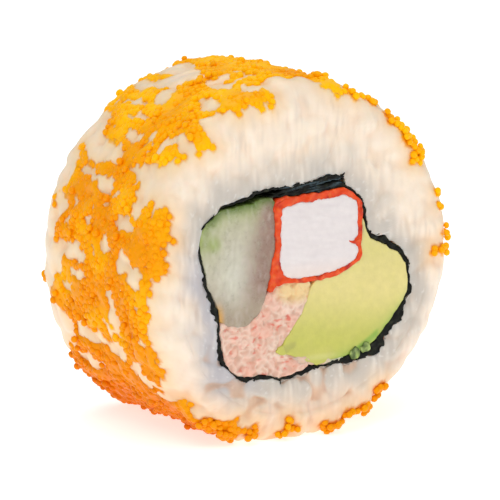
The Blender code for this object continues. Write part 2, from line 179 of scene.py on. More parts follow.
# Small clusters of roe on the far rim: angle, depth, half sizes the same way, and the number of eggs
RIM_CLUSTERS = [
    (75, -8.6, 2.5, 0.9, 5), (70, -12.0, 2.5, 1.0, 5), (62, -11.8, 3, 0.9, 6),
    (51, -12.4, 4, 0.8, 9), (43, -12.7, 4, 0.8, 13), (36, -12.9, 3.5, 0.7, 11),
    (19, -12.9, 1.6, 0.6, 3), (15, -12.9, 1.2, 0.4, 2), (5, -12.4, 2.4, 0.7, 4),
    (0, -13.4, 2.2, 0.6, 6), (236, -12.4, 3.5, 0.8, 14), (243, -12.0, 3, 0.9, 14),
    (250, -13.2, 2, 0.5, 7), (263, -13.2, 4, 0.5, 10), (281, -13.2, 4, 0.6, 11),
    (289, -13.2, 4, 0.6, 12), (295, -13.0, 2.5, 0.6, 8), (303, -12.9, 3, 0.6, 8),
]

# Thickness of the seaweed at its cut edge: angle round the hole's centre and millimetres
NORI_CAD_THICK = 0.50
NORI_THICKNESS = [
    (2, 0.42), (13, 0.68), (20, 0.62), (27, 0.36), (38, 0.34), (55, 0.27), (75, 0.40), (120, 0.36),
    (135, 0.28), (150, 0.26), (168, 0.30), (182, 0.50), (194, 0.90), (204, 0.45), (212, 0.50),
    (222, 0.40), (238, 0.38), (285, 0.42), (302, 0.75), (318, 1.05), (335, 1.00), (350, 0.55),
]

# Dark folds of the seaweed's overlap, each a stretch of face points, with its half thickness
NORI_FOLDS = [
    ([(-4.2, 8.7), (-2.6, 8.9), (-0.9, 9.2), (0.9, 9.3), (2.6, 9.6), (4.4, 9.7)], 0.30),
    ([(-2.2, 9.3), (-0.6, 9.6), (0.8, 9.5), (2.3, 9.9), (3.9, 10.1), (5.2, 10.0)], 0.22),
    ([(-3.6, 8.5), (-1.8, 8.5), (0.2, 8.8), (2.4, 9.0), (4.6, 9.1), (6.0, 8.8)], 0.24),
]
SHARD_LENGTH = 0.65
SHARD_HALF = 0.3
SHARD_WAIST = 0.16
SHARD_BEND = 0.2
SHARD_GAP = 0.12
NORI_SHARDS = [
    ((-3.6, -12.9), (-3.2, -14.1)), ((4.6, 10.0), (5.8, 10.6)), ((9.8, 2.3), (10.6, 3.0)),
    ((-10.7, -10.6), (-11.4, -11.1)), ((6.8, -11.3), (7.4, -12.2)), ((12.9, -6.9), (13.8, -7.2)),
]

# The coat's folded edge at the stick's top left corner
COAT_CORNER = [(-3.85, 6.3), (-3.85, 7.3), (-3.3, 7.9), (-1.8, 7.95), (-0.4, 7.8)]
COAT_CORNER_HALF = 0.30

# The avocado's thin ends: its lower left tip, and the sliver that runs up beside the stick
AVOCADO_TIP = [(-3.7, -9.6), (-2.7, -9.45), (-1.2, -8.9)]
AVOCADO_TIP_HALF = 0.42
AVOCADO_THIN = [(7.9, 2.6), (7.75, 4.2), (7.6, 5.6), (7.1, 7.2)]
AVOCADO_THIN_HALF = 0.16

# Bits of the avocado's green rind that stick to the seaweed
RIND_BITS = [
    [(5.9, -11.05), (6.6, -10.9), (7.3, -10.6)],
    [(7.5, -10.65), (8.1, -10.35), (8.6, -9.95)],
]
RIND_BIT_HALF = 0.50
BITS_PROUD = AVOCADO_PROUD + 0.14

# The cucumber's rind is the part of its outline above this level, which rises to the right
RIND_LEVEL = 8.8
RIND_SLOPE = 0.36

# The nick at the right of the stick's white, which the coat fills
COAT_NICK = ((7.0, 2.3), (5.0, 2.5))

# Crumbs of the crab salad
CRUMB_SPACING = 1.25
CRUMB_RADIUS = (0.65, 1.15)
CRUMB_FLOOR = -0.30
CRUMB_LIFT = (-0.25, 0.35)
CRUMB_TRIES = 5000
SALAD_SEED = 3

# Pale dressing that has run out of the salad under the avocado
CREAM_PATH = [(-1.9, -10.5), (-0.4, -10.9), (1.4, -11.3), (3.4, -11.4), (5.2, -11.2)]
CREAM_HALF = 0.42
CREAM_PROUD = 0.04

# How each food looks, beside its painted colour: see food_material()
FOODS = {
    "cucumber_flesh": dict(roughness=0.30, let_in=0.35, reach=(0.8, 1.0, 0.6), depth=1.2, coat=0.15),
    "crab_stick_white": dict(roughness=0.42, mottle=0.03, let_in=0.3, reach=(1, 0.9, 0.85), depth=0.8),
    "crab_stick_red": dict(
        roughness=0.34, let_in=0.1, reach=(1, 0.25, 0.1), depth=0.6, coat=0.1, specular=0.25,
    ),
    "avocado_flesh": dict(roughness=0.38, mottle=0.04, let_in=0.3, reach=(0.9, 1.0, 0.3), depth=1.0),
    "crab_salad_meat": dict(roughness=0.45, mottle=0.05, let_in=0.3, reach=(1, 0.5, 0.4), depth=0.8),
    "nori_flat": dict(
        roughness=0.60, mottle=0.25, mottle_size=0.5, grain=0.06, grain_size=0.2, specular=0.2,
    ),
    "rice_grain": dict(
        roughness=0.42, mottle=0.025, mottle_size=1.4, grain=0.04, grain_size=0.4, let_in=0.55,
        reach=(1.0, 0.75, 0.6), depth=1.6, coat=0.08,
    ),
    # The roe gets a painted glow of its own colour, which brightens its shaded parts.
    "roe_egg": dict(
        roughness=0.34, mottle=0.04, mottle_size=0.5, grain=0.01, grain_size=0.3, specular=0.10, painted_glow=0.10,
    ),
}

# Studio light, in watts for the lamps
WORLD_STRENGTH = 0.42
KEY_POWER = 1.8
FILL_POWER = 0.66
TOP_POWER = 1.3
FLOOR_WHITE = 0.80
FLOOR_HALF = 3.0
FLOOR_GLOW = 0.60

# Camera: angles round the roll, distance from it and the place that it looks at
CAMERA_AZIMUTH = math.radians(-31)
CAMERA_HEIGHT_ANGLE = math.radians(11)
CAMERA_DISTANCE = 450.0
CAMERA_TARGET = (0.9, 0.0, AXIS_HEIGHT - 0.9)
LENS = 276.7
SENSOR = 36.0
FRAME_SHIFT = (0.0028, 0.0054)


def linear(red, green, blue):
    """A colour as seen on a screen, from 0 to 255, as the shader's own numbers."""
    def channel(value):
        value /= 255
        return value / 12.92 if value <= 0.04045 else ((value + 0.055) / 1.055) ** 2.4
    return np.array((channel(red), channel(green), channel(blue)))


def ease(low, high, value):
    """From 0 at low to 1 at high, easing in and out."""
    share = np.clip((value - low) / (high - low), 0, 1)
    return share * share * (3 - 2 * share)


def mixed(first, second, share):
    """Two colours, or lists of colours, blended by a share for each point."""
    share = np.asarray(share)[..., None]
    return first * (1 - share) + second * share


def painted(colour, *coats):
    """A colour, or one for each point, with others laid over it in turn as ((red, green, blue), share)."""
    for tone, share in coats:
        colour = mixed(colour, linear(*tone), share)
    return colour


def noise_at(points, size, seed=0.0):
    """Smooth noise from about -1 to 1 at each point, with lumps of the given size."""
    scaled = np.asarray(points, float) / size + seed
    return np.array([noise.noise(point) for point in scaled.tolist()])


def turned(points, depth, back=False):
    """Face points at a depth, turned by the roll's twist there, or turned back out of it."""
    turn = TWIST * (np.asarray(depth) + HALF) / ROLL_LENGTH * (-1 if back else 1)
    dx, dz = points[:, 0] - HOLE_CENTRE[0], points[:, 1] - HOLE_CENTRE[1]
    cos, sin = np.cos(turn), np.sin(turn)
    return np.stack([
        HOLE_CENTRE[0] + dx * cos - dz * sin,
        HOLE_CENTRE[1] + dx * sin + dz * cos,
    ], axis=1)


def in_roll(flat, y):
    """Face points as points of the roll at a depth, turned by its twist there."""
    face = turned(flat, y)
    return np.stack([face[:, 0], np.broadcast_to(y, len(flat)), face[:, 1]], axis=1)


def bearing(x, z):
    """The angle of points round a middle, in degrees from 0 to 360, from +x towards +z."""
    return np.degrees(np.arctan2(z, x)) % 360


def spot(points, middle, half, outer=1.0, inner=0.2):
    """1 in the middle of an oval of face points with the given half sizes, fading to 0 outside it."""
    return ease(outer, inner, np.hypot(*((points - middle) / half).T))


def roomy(place, spacing, cells, cell_size=1.0):
    """Whether a place keeps its distance from all those in the cells. If so, it joins them."""
    cell = tuple(int(math.floor(c / cell_size)) for c in place)
    for shift in product((-1, 0, 1), repeat=3):
        beside = cells.get(tuple(c + step for c, step in zip(cell, shift)), ())
        if any(math.dist(place, other) < spacing for other in beside):
            return False
    cells.setdefault(cell, []).append(place)
    return True


def signed_area(outline):
    following = np.roll(outline, -1, axis=0)
    return 0.5 * np.sum(outline[:, 0] * following[:, 1] - following[:, 0] * outline[:, 1])


def cad_outlines(node):
    """The closed outlines of a CAD node near its front cut face, largest first and anticlockwise."""
    mesh = bmesh.new()
    mesh.from_mesh(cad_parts[node].data)
    bmesh.ops.remove_doubles(mesh, verts=mesh.verts, dist=1e-7)
    geometry = mesh.verts[:] + mesh.edges[:] + mesh.faces[:]
    bmesh.ops.bisect_plane(
        mesh, geom=geometry, dist=1e-9, plane_co=(0, SECTION_DEPTH * MM, 0), plane_no=(0, 1, 0),
        clear_inner=True, clear_outer=True,
    )
    outlines = []
    seen = set()
    for first in mesh.verts:
        if first in seen or not first.link_edges:
            continue
        loop, vert, edge = [], first, first.link_edges[0]
        while vert not in seen:
            seen.add(vert)
            loop.append((vert.co.x / MM, vert.co.z / MM - AXIS_HEIGHT))
            edge = next((e for e in vert.link_edges if e is not edge), edge)
            vert = edge.other_vert(vert)
        outlines.append(turned(np.array(loop), SECTION_DEPTH, back=True))
    mesh.free()
    outlines = [loop if signed_area(loop) > 0 else loop[::-1] for loop in outlines if len(loop) > 4]
    return sorted(outlines, key=lambda loop: -abs(signed_area(loop)))


def smooth_path(points, gap, closed):
    """A smooth curve through the points, with evenly spaced points of its own."""
    points = np.asarray(points, float)
    before, after = (points[-1:], points[:2]) if closed else (points[:1], points[-1:])
    padded = np.concatenate([before, points, after])
    p0, p1, p2, p3 = (padded[k:len(padded) - 3 + k, None] for k in range(4))
    t = (np.arange(PATH_STEPS) / PATH_STEPS)[:, None]
    fine = 0.5 * (
        2 * p1 + (p2 - p0) * t + (2 * p0 - 5 * p1 + 4 * p2 - p3) * t * t
        + (3 * p1 - p0 - 3 * p2 + p3) * t ** 3
    )
    fine = np.concatenate([fine.reshape(-1, 2), points[:1] if closed else points[-1:]])
    along = np.concatenate([[0], np.cumsum(np.hypot(*np.diff(fine, axis=0).T))])
    count = max(4, round(along[-1] / gap))
    places = np.linspace(0, along[-1], count + 1)
    curve = np.stack([np.interp(places, along, fine[:, 0]), np.interp(places, along, fine[:, 1])], axis=1)
    return curve[:-1] if closed else curve


def cad_outline(node, growth, index=0):
    """A smooth outline of a node at the cut, grown outwards."""
    outline = smooth_path(cad_outlines(node)[index], OUTLINE_GAP, closed=True)
    return outline + outward(outline) * growth


def outward(outline):
    """The outward normals of a closed anticlockwise outline."""
    along = np.roll(outline, -1, axis=0) - np.roll(outline, 1, axis=0)
    along /= np.maximum(np.hypot(along[:, 0], along[:, 1]), 1e-9)[:, None]
    return np.stack([along[:, 1], -along[:, 0]], axis=1)


def edge_distance(points, outline):
    """How far each face point is from a closed outline."""
    nearest = np.full(len(points), np.inf)
    for start, end in zip(outline, np.roll(outline, -1, axis=0)):
        edge = end - start
        relative = points - start
        share = np.clip(relative @ edge / max(edge @ edge, 1e-12), 0, 1)
        gap = relative - share[:, None] * edge
        nearest = np.minimum(nearest, np.hypot(gap[:, 0], gap[:, 1]))
    return nearest


def within(points, outline):
    """Whether each face point lies inside a closed outline."""
    x, z = points.T
    inside = np.zeros(len(points), bool)
    for (x0, z0), (x1, z1) in zip(outline, np.roll(outline, -1, axis=0)):
        if z0 == z1:
            continue
        crossing = ((z0 > z) != (z1 > z)) & (x < x0 + (z - z0) / (z1 - z0) * (x1 - x0))
        inside ^= crossing
    return inside


def within_region(points, outlines):
    """Whether each face point lies inside the first outline and outside the others."""
    return within(points, outlines[0]) & ~np.any([within(points, hole) for hole in outlines[1:]], axis=0)


def nearest_edge(points, outlines):
    return np.min([edge_distance(points, outline) for outline in outlines], axis=0)


def region_points(outlines, gap):
    """Points that fill a region: its outlines first, then rows just inside them, then an even field."""
    outer = outlines[0]

    def kept(points, least):
        return points[within_region(points, outlines) & (nearest_edge(points, outlines) > least)]

    rows = []
    for step in EDGE_STEPS:
        for outline in outlines:
            side = -1 if outline is outer else 1
            row = outline + side * step * outward(outline)
            rows.append(kept(row[::1 if step < 0.2 else 2], step * 0.8))
    low, high = outer.min(axis=0), outer.max(axis=0)
    xs = np.arange(low[0], high[0], gap)
    zs = np.arange(low[1], high[1], gap * FIELD_ROW)
    field = np.array([(x + (gap / 2 if row % 2 else 0), z) for row, z in enumerate(zs) for x in xs])
    rows.append(kept(field, EDGE_STEPS[-1] + gap * 0.4))
    return np.concatenate(outlines + rows)


def layer(outlines, proud, relief, paint, rounding=EDGE_ROUNDING, gap=POINT_GAP):
    """A layer of the roll from cut face to cut face as (points, triangles, colours). relief(points, side)
    gives how far its face stands out and paint(points, height, side) its colours."""
    points = region_points(outlines, gap)
    edges, first = [], 0
    for outline in outlines:
        count = len(outline)
        edges += [(first + i, first + (i + 1) % count) for i in range(count)]
        first += count
    verts, _, faces, origins, _, _ = delaunay_2d_cdt([Vector(p) for p in points], edges, [], 0, 1e-6)
    flat = np.array([tuple(v) for v in verts])
    place = {}
    for index, sources in enumerate(origins):
        for source in sources:
            place[source] = index
    faces = np.array([tuple(f) for f in faces])
    faces = faces[within_region(flat[faces].mean(axis=1), outlines)]

    edge = nearest_edge(flat, outlines)
    depth = np.clip(rounding - edge, 0, rounding)
    rounded = np.sqrt(rounding ** 2 - depth ** 2) - rounding
    count = len(flat)
    solid, tints = [], []
    for side in (-1, 1):
        height = proud + rounded + relief(flat, side) * ease(0, rounding, edge)
        solid.append(in_roll(flat, side * (HALF + height)))
        tints.append(paint(flat, height - proud, side))
    triangles = [faces[:, ::-1], faces + count]
    total, first = 2 * count, 0
    for outline in outlines:
        ring = np.array([place[first + i] for i in range(len(outline))])
        first += len(outline)
        rows = [ring]
        for k in range(1, WALL_ROWS):
            share = k / WALL_ROWS
            solid.append(in_roll(flat[ring], solid[0][ring, 1] * (1 - share) + solid[1][ring, 1] * share))
            tints.append(tints[0][ring])
            rows.append(total + np.arange(len(ring)))
            total += len(ring)
        rows.append(ring + count)
        for near, far in zip(rows, rows[1:]):
            near_next, far_next = np.roll(near, -1), np.roll(far, -1)
            triangles.append(np.stack([near, near_next, far_next], axis=1))
            triangles.append(np.stack([near, far_next, far], axis=1))
    return np.concatenate(solid), np.concatenate(triangles), np.concatenate(tints)


def in_scene(name, data):
    """A new object of the scene with this name and data."""
    item = bpy.data.objects.new(name, data)
    bpy.context.scene.collection.objects.link(item)
    return item


def new_shader(name):
    """A new material and its surface shader."""
    material = bpy.data.materials.new(name)
    material.use_nodes = True
    return material, material.node_tree.nodes["Principled BSDF"]


def mesh_piece(name, parts, food, node=None):
    """One visible object of a food from (points, faces, colours) parts, painted point by point."""
    polygons, total = [], 0
    for part_points, part_faces, _ in parts:
        polygons += (np.asarray(part_faces) + total).tolist()
        total += len(part_points)
    points = np.concatenate([part[0] for part in parts])
    data = bpy.data.meshes.new(name)
    data.from_pydata(((points + (0, 0, AXIS_HEIGHT)) * MM).tolist(), [], polygons)
    mesh = bmesh.new()
    mesh.from_mesh(data)
    bmesh.ops.recalc_face_normals(mesh, faces=mesh.faces)
    mesh.to_mesh(data)
    mesh.free()
    paint = data.color_attributes.new("paint", "FLOAT_COLOR", "POINT")
    colours = np.clip(np.concatenate([part[2] for part in parts]), 0, 1)
    paint.data.foreach_set("color", np.column_stack([colours, np.ones(total)]).ravel())
    data.shade_smooth()
    data.materials.append(food_material(food, **FOODS[food]))
    obj = in_scene(name, data)
    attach(obj, "root")
    if node:
        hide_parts(node)


def food_material(name, roughness, mottle=0.06, mottle_size=0.8, grain=0.03, grain_size=0.25,
                  let_in=0.0, reach=(1.0, 0.5, 0.3), depth=1.0, coat=0.0, specular=0.5, painted_glow=0.0):
    """A moist food surface: its painted colour with fine mottling, relief too small for the mesh and
    some light let in below the surface. It can also have a painted glow: the surface gives out light
    of its own painted colour, though it is no lamp."""
    material, shader = new_shader(name)
    nodes, links = material.node_tree.nodes, material.node_tree.links
    place = nodes.new("ShaderNodeTexCoord")

    def texture(size, detail):
        lumps = nodes.new("ShaderNodeTexNoise")
        lumps.inputs["Scale"].default_value = 1 / (size * MM)
        lumps.inputs["Detail"].default_value = detail
        links.new(place.outputs["Object"], lumps.inputs["Vector"])
        return lumps.outputs["Fac"]

    def about(value, spread, source):
        ranged = nodes.new("ShaderNodeMapRange")
        low, high = value * (1 - spread), value * (1 + spread)
        ends = {"From Min": 0.3, "From Max": 0.7, "To Min": low, "To Max": high}
        for socket, end in ends.items():
            ranged.inputs[socket].default_value = end
        links.new(source, ranged.inputs["Value"])
        return ranged.outputs["Result"]

    coarse = texture(mottle_size, 4)
    paint = nodes.new("ShaderNodeAttribute")
    paint.attribute_name = "paint"
    colour = nodes.new("ShaderNodeVectorMath")
    colour.operation = "SCALE"
    links.new(paint.outputs["Color"], colour.inputs[0])
    links.new(about(1, mottle, coarse), colour.inputs["Scale"])
    links.new(colour.outputs["Vector"], shader.inputs["Base Color"])
    links.new(about(roughness, 0.15, coarse), shader.inputs["Roughness"])
    bump = nodes.new("ShaderNodeBump")
    bump.inputs["Strength"].default_value = 0.6
    bump.inputs["Distance"].default_value = grain * MM
    links.new(texture(grain_size, 3), bump.inputs["Height"])
    links.new(bump.outputs["Normal"], shader.inputs["Normal"])
    # Painted glow: the surface gives out light of its own painted colour.
    if painted_glow:
        links.new(colour.outputs["Vector"], shader.inputs["Emission Color"])
        shader.inputs["Emission Strength"].default_value = painted_glow
    values = {
        "Subsurface Weight": let_in, "Subsurface Radius": reach, "Subsurface Scale": depth * MM,
        "Coat Weight": coat, "Coat Roughness": 0.2, "Specular IOR Level": specular,
    }
    for socket, value in values.items():
        shader.inputs[socket].default_value = value
    return material


def stretched(points, side, across, up, away=40.0, lean=0.0):
    """Face points as points in space for noise whose lumps are so wide and high, with a different
    stretch of it, so far away, for each cut face."""
    x, z = points.T
    return np.stack([x / across, np.full(len(points), side * away), z / up + lean * x], axis=1)


def as_space(points, side):
    return stretched(points, side, 1.0, 1.0)


def as_flat(points, level=0.0):
    """Face points as points in space at one level, for noise that is the same on both cut faces."""
    return np.column_stack([points, np.full(len(points), level)])


def lumpy(*waves):
    """A relief of smooth lumps, different on each cut face, as (height, size, seed) for each kind."""
    def relief(points, side):
        field = as_space(points, side)
        return sum(height * noise_at(field, size, seed) for height, size, seed in waves)
    return relief


def wobbled(outline, amount, size, seed):
    """An outline with small irregular waves."""
    return outline + outward(outline) * (amount * noise_at(as_flat(outline, seed), size))[:, None]


def ruffled(outline):
    """An outline bent as its neighbours are: in beside the cucumber's foot, with small waves all along."""
    field = as_flat(outline)
    waves = [noise_at(field, 1.7, seed) + 0.5 * noise_at(field, 0.8, seed + 2) for seed in (2, 13)]
    bent = outline + RUFFLE * np.stack(waves, axis=1)
    bent[:, 0] += JOG_DEPTH * np.exp(-np.sum(((outline - JOG_PLACE) / JOG_SIZE) ** 2, axis=1))
    return bent


def filling_outline(node, growth=FILLING_GROWTH, index=0):
    return ruffled(cad_outline(node, growth, index))


# Cucumber

cucumber_relief = lumpy((0.10, 2.4, 0), (0.05, 0.7, 3))


def cucumber_paint(points, height, side, outline):
    x, z = points.T
    rind = outline[outline[:, 1] > RIND_LEVEL + RIND_SLOPE * outline[:, 0]]
    below_rind = np.min(np.hypot(*(points[:, None] - rind[None]).transpose(2, 0, 1)), axis=1)
    streak = noise_at(stretched(points, side, 1 / 2.6, 1.0), 0.9, 5)
    brown = ease(-9.4, -5.4, x - 0.15 * z) * ease(-5.5, -1.0, z)
    brown += 0.3 * streak * ease(-10, -8, x)
    return painted(
        linear(193, 187, 168),
        ((166, 150, 128), ease(0.5, -5.0, z)),
        ((203, 200, 184), spot(points, (-9.2, -0.4), (1.3, 2.0), 2.6)),
        ((140, 104, 90), 0.9 * np.clip(brown, 0, 1)),
        ((154, 170, 82), np.exp(-below_rind / 1.5) * ease(-4.4, -6.4, x + 0.3 * below_rind)),
        ((142, 160, 74), 0.8 * spot(points, (-12.0, 3.6), (1.5, 1.5), 1.0, 0.1)),
        ((78, 104, 26), 0.9 * np.exp(-(below_rind / 0.85) ** 2) * ease(-14.2, -12.0, x)),
        ((222, 221, 210), 0.32 * np.clip(streak, 0, 1)),
        ((150, 142, 122), 0.3 * np.clip(-streak, 0, 1)),
        ((206, 150, 48), 0.85 * spot(points, (-11.4, -5.0), (1.0, 2.3))),
    )


# Crab stick and its coat

def stick_relief(points, side):
    fibres = noise_at(stretched(points, side, 3.2, 0.42, 9.0, 1 / 2.4), 1.0)
    inside = 1 - np.max(np.abs((points - STICK_MIDDLE) / STICK_HALF), axis=1)
    uneven = 0.04 * fibres + 0.06 * noise_at(as_space(points, side), 2.0)
    return 2 * STICK_BULGE * np.clip(inside, 0, 0.5) + uneven


def stick_paint(points, height, side):
    fibres = noise_at(stretched(points, side, 3.0, 0.5, 9.0), 1.0)
    return painted(
        linear(228, 221, 220),
        ((214, 205, 207), 0.35 * np.clip(0.5 + fibres, 0, 1)),
        ((238, 214, 200), 0.4 * ease(1.0, -1.2, points[:, 1])),
    )


coat_relief = lumpy((0.16, 0.9, 1), (0.08, 0.35, 2))


def coat_paint(points, height, side):
    field = as_space(points, side)
    return painted(
        linear(224, 68, 14),
        ((178, 24, 10), np.clip(1.6 * noise_at(field, 1.0, 4), 0, 1)),
        ((242, 122, 58), 0.6 * np.clip(1.3 * noise_at(field, 0.5, 9), 0, 1)),
    )


# Avocado

def avocado_relief(points, side):
    drag = noise_at(stretched(points, side, 4.0, 0.9, 5.0), 1.0, 6)
    return 0.10 * noise_at(as_space(points, side), 3.0, 2) + 0.035 * drag


def avocado_paint(points, height, side, rim):
    x, z = points.T
    edge = np.exp(-edge_distance(points, rim) / 0.55) * ease(-3.0, -8.0, z) * ease(2.5, 5.5, x)
    sliver = ease(1.0, 0.3, np.abs(z + 10.2 - (x - 7.5) * 0.62) / 0.55)
    sliver *= ease(3.9, 3.2, np.abs(x - 7.7) / 0.62)
    return painted(
        linear(224, 211, 137),
        ((194, 194, 90), ease(-2.6, -9.8, z + 0.1 * (x - 5))),
        ((212, 203, 128), 0.6 * ease(-3.0, 1.5, z)),
        ((140, 176, 66), edge),
        ((112, 166, 48), 0.8 * sliver),
        ((226, 226, 176), 0.25 * spot(points, (2.0, -10.8), (3.4, 0.55))),
        ((214, 206, 120), 0.3 * np.clip(noise_at(as_space(points, side), 1.6, 3), 0, 1)),
    )


def rind_paint(points, height, side):
    # The bits are painted lighter where they stand higher and dark where low: painted highlight and painted
    # shade, broken up by noise.
    painted_light_share = 0.35 + 3 * height + 1.3 * noise_at(as_space(points, side), 0.45)
    return painted(linear(70, 92, 30), ((166, 188, 104), np.clip(painted_light_share, 0, 1)))


# Crab salad

def scattered(places, spacing, draw):
    """Random members of the list that keep a distance from each other."""
    draw.shuffle(places)
    chosen = []
    for place in places:
        if all(math.dist(place, other) >= spacing for other in chosen):
            chosen.append(place)
    return np.array(chosen)


def salad_crumbs(outline, side):
    """Crumbs of crab meat on one cut face: place, radius, how red each is and how high it lies."""
    draw = random.Random(SALAD_SEED + side)
    low, high = outline.min(axis=0), outline.max(axis=0)
    field = np.array([[draw.uniform(*ends) for ends in zip(low, high)] for _ in range(CRUMB_TRIES)])
    centres = scattered(field[within(field, outline)].tolist(), CRUMB_SPACING, draw)
    radii = [draw.uniform(*CRUMB_RADIUS) for _ in centres]
    redness = [draw.random() ** 2 for _ in centres]
    lift = [draw.uniform(*CRUMB_LIFT) for _ in centres]
    return list(zip(centres, radii, redness, lift))


def crumb_height(points, crumbs):
    """How far the crumbs stand out at each point, and the redness of the one that shows there."""
    field = as_flat(points)
    wave = 0.30 * noise_at(field, 0.8) + 0.22 * noise_at(field, 0.35, 5)
    best = np.full(len(points), CRUMB_FLOOR)
    shown = np.zeros(len(points))
    for centre, radius, red, up in crumbs:
        reach = np.hypot(*(points - centre).T) / radius + wave
        top = 0.6 * up + radius * 0.5 * np.sqrt(np.clip(1 - reach ** 2, 0, 1)) - 0.35
        top = np.where(reach < 1, top, CRUMB_FLOOR - 0.1)
        shown = np.where(top > best, red, shown)
        best = np.maximum(best, top)
    return best, shown


def cream_paint(points, height, side):
    return painted(
        linear(222, 184, 158),
        ((196, 196, 160), ease(2.2, 3.6, points[:, 0])),
        ((232, 206, 188), np.clip(height * 3, 0, 1)),
    )


def salad_parts(outline):
    crumbs = {side: salad_crumbs(outline, side) for side in (-1, 1)}

    def flakes(points, side):
        field = as_space(points, side)
        bent = field + 0.3 * noise_at(field, 0.9, 4)[:, None]
        return np.clip(1 - 3.2 * np.abs(noise_at(bent, 0.62, 7)), -0.6, 1)

    soft = lumpy((0.22, 2.2, 6), (0.04, 0.3, 0))

    def relief(points, side):
        crumbly = 0.6 * crumb_height(points, crumbs[side])[0] + 0.07 * flakes(points, side)
        return crumbly + soft(points, side)

    def paint(points, height, side):
        _, red = crumb_height(points, crumbs[side])
        spots = ease(0.18, 0.46, noise_at(stretched(points, side, 0.8, 0.45), 0.8, 12))
        spots *= ease(-0.3, 0.25, noise_at(as_space(points, side), 1.9, 3))
        return painted(
            linear(212, 166, 142),
            # Lighter where the flakes' ridges stand: partly the white of the crab meat, partly a painted
            # highlight.
            ((236, 209, 192), np.clip(0.55 + 0.5 * flakes(points, side), 0, 1)),
            ((226, 150, 126), 0.5 * np.clip(red, 0, 1)),
            ((218, 92, 72), 0.8 * spots),
            ((232, 202, 140), 0.85 * spot(points, (-1.2, -2.6), (1.7, 1.0), 2.2, 0.8)),
            # Painted shade in the low places between crumbs.
            ((214, 150, 122), 0.35 * ease(-0.1, -0.45, height)),
        )

    cream = ribbon(CREAM_PATH, CREAM_HALF, 31)
    return [
        layer([outline], SALAD_PROUD, relief, paint, gap=0.17),
        layer([cream], CREAM_PROUD, coat_relief, cream_paint, rounding=0.12),
    ]


# Nori

nori_relief = lumpy((0.26, 0.8, 2), (0.20, 0.3, 7))


def nori_paint(points, height, side):
    x, z = points.T
    # On the overlap, lighter bluish streaks are a painted sheen, standing in for the sheet's glossy
    # highlights.
    lap = ease(-4.5, -2.0, x) * ease(6.0, 4.5, x) * ease(7.6, 8.4, z)
    painted_sheen_streaks = noise_at(stretched(points, side, 2.6, 0.22, 3.0, -0.12 / 0.22), 1.0, 8)
    return painted(
        linear(8, 10, 7),
        ((46, 50, 36), np.clip(1.3 * noise_at(as_space(points, side), 0.5, 5), 0, 1)),
        ((66, 84, 92), lap * ease(0.12, 0.5, painted_sheen_streaks)),
    )


def ribbon(path, half_thickness, seed):
    """The closed outline of a crumpled strip along a path, thinner at its ends."""
    curve = smooth_path(path, OUTLINE_GAP, closed=False)
    along = np.gradient(curve, axis=0)
    along /= np.hypot(along[:, 0], along[:, 1])[:, None]
    normal = np.stack([-along[:, 1], along[:, 0]], axis=1)
    share = np.linspace(0, 1, len(curve))
    taper = np.clip(np.minimum(share, 1 - share) * 8, 0.25, 1)
    thick = half_thickness * taper * (1 + 0.5 * noise_at(as_flat(curve, seed + 4), 0.6))
    middle = curve + normal * (0.22 * noise_at(as_flat(curve, seed), 0.9))[:, None]
    to_edge = normal * thick[:, None]
    outline = np.concatenate([middle - to_edge, (middle + to_edge)[::-1]])
    return outline if signed_area(outline) > 0 else outline[::-1]


def shard(start, end, seed):
    """A small torn tip of the sheet, from its edge out into the rice."""
    start, end = np.array(start), np.array(end)
    end = start + (end - start) * SHARD_LENGTH
    along = (end - start) / np.hypot(*(end - start))
    across = np.array((-along[1], along[0]))
    root = start - along * SHARD_HALF
    middle = (start + end) / 2 + across * SHARD_BEND * (-1 if seed % 2 else 1)
    outline = [
        root - across * SHARD_HALF, middle - across * SHARD_WAIST, end,
        middle + across * SHARD_WAIST, root + across * SHARD_HALF,
    ]
    return smooth_path(outline, SHARD_GAP, closed=True)


def nori_sheet():
    """The sheet's own outline, crinkled, and thicker where it is crumpled."""
    outline = cad_outline("nori", 0)
    normal = outward(outline)
    relative = outline - HOLE_CENTRE
    facing_out = np.sum(normal * relative, axis=1) > 0
    places, thickness = zip(*NORI_THICKNESS)
    wanted = np.interp(bearing(*relative.T), places, thickness, period=360)
    field = as_flat(outline)
    waves = 0.62 * noise_at(field, 1.6, 3) + 0.62 * noise_at(field, 0.7, 6)
    extra = np.where(facing_out, wanted * (1 + waves) - NORI_CAD_THICK, 0.05)
    crinkle = 0.14 * noise_at(field, 0.42, 9)
    return outline + normal * (extra + crinkle)[:, None]


# Rice

def roll_radius(angle):
    """The rolled outline: nearly round, a little pressed in at places."""
    return ROLL_RADIUS + 0.35 * np.cos(2 * angle - 2.4) + 0.25 * np.cos(3 * angle + 0.6)


def pressed_in(angle, y):
    """How far the roll is pressed in at an angle and depth, most at the top left of its back."""
    around = np.degrees(angle)
    depth = sum(most * np.exp(-((around - at) / spread) ** 2) for at, spread, most in PRESSES)
    return depth * ease(0, HALF, y)


def hole_radii(outlines, angles):
    """How far the filling and its sheet reach from the hole's centre in each direction."""
    x, z = (np.concatenate(outlines) - HOLE_CENTRE).T
    towards, reach = np.arctan2(z, x), np.hypot(x, z)
    radii = []
    for angle in angles:
        near = np.abs(np.remainder(towards - angle + math.pi, 2 * math.pi) - math.pi) < HOLE_WINDOW
        radii.append(reach[near].max())
    return (np.roll(radii, 1) + 2 * np.array(radii) + np.roll(radii, -1)) / 4


